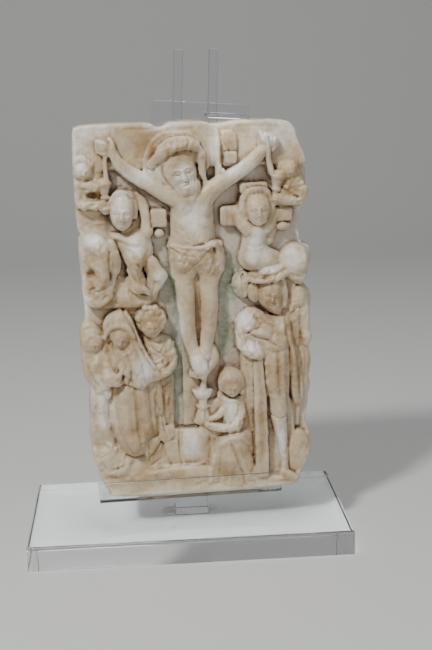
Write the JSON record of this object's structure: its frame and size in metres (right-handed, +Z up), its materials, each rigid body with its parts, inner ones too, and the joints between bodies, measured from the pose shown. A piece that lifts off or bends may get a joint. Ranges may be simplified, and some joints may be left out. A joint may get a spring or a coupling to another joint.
{
  "type": "stone relief panel on a stand",
  "caption": "Carved alabaster relief panel of the Crucifixion with attendant figures, standing in a clear acrylic cradle on a thick clear base.",
  "frame": {"origin": "centre of the base block's underside", "axes": "+Z up, +X to the viewer's right, -Y towards the viewer; the carved face looks along -Y, turned 3 degrees"},
  "size_m": [0.314, 0.171, 0.4799],
  "materials": {
    "alabaster": "worn satin alabaster with honey-brown recesses and traces of green and pink paint",
    "clear_acrylic": "polished clear acrylic with bright edges"
  },
  "bodies": {
    "root": {"relief_panel": "alabaster", "stand_base": "clear_acrylic", "support_block": "clear_acrylic", "cradle": "clear_acrylic", "upright_left": "clear_acrylic", "upright_right": "clear_acrylic", "top_bracket": "clear_acrylic"}
  },
  "joints": []
}
